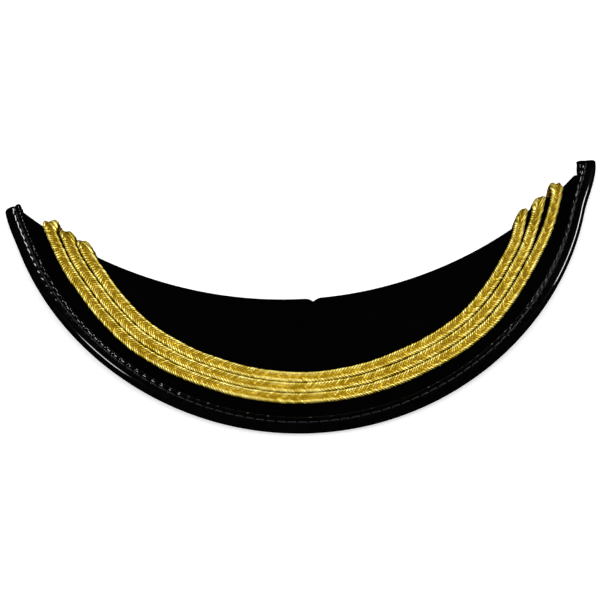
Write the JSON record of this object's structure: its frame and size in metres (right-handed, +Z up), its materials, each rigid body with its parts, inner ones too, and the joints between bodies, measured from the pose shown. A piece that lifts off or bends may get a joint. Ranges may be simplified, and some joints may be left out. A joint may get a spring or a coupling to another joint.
{
  "type": "officer cap peak",
  "caption": "Detached peak of an officer's peaked cap: a curved black cloth-covered board with a glossy leather binding over its rim and gold braids sewn along it.",
  "frame": {"origin": "centre of the peak's footprint on the flat surface that it lies on", "axes": "+X from the left tip to the right tip in the front view, +Y from the front of the rim towards the seam, +Z up"},
  "size_m": [0.202, 0.1132, 0.0157],
  "materials": {
    "black_cloth": "matt black wool-like cloth stretched over a stiff board",
    "patent_leather": "high-gloss black patent leather, rolled over the rim and stitched",
    "gold_braid": "metallic gold thread braided over two cords, with a groove between them"
  },
  "bodies": {
    "root": {"peak_panel": "black_cloth", "edge_binding": "patent_leather", "braid_outer": "gold_braid", "braid_middle": "gold_braid", "braid_inner": "gold_braid"}
  },
  "joints": []
}
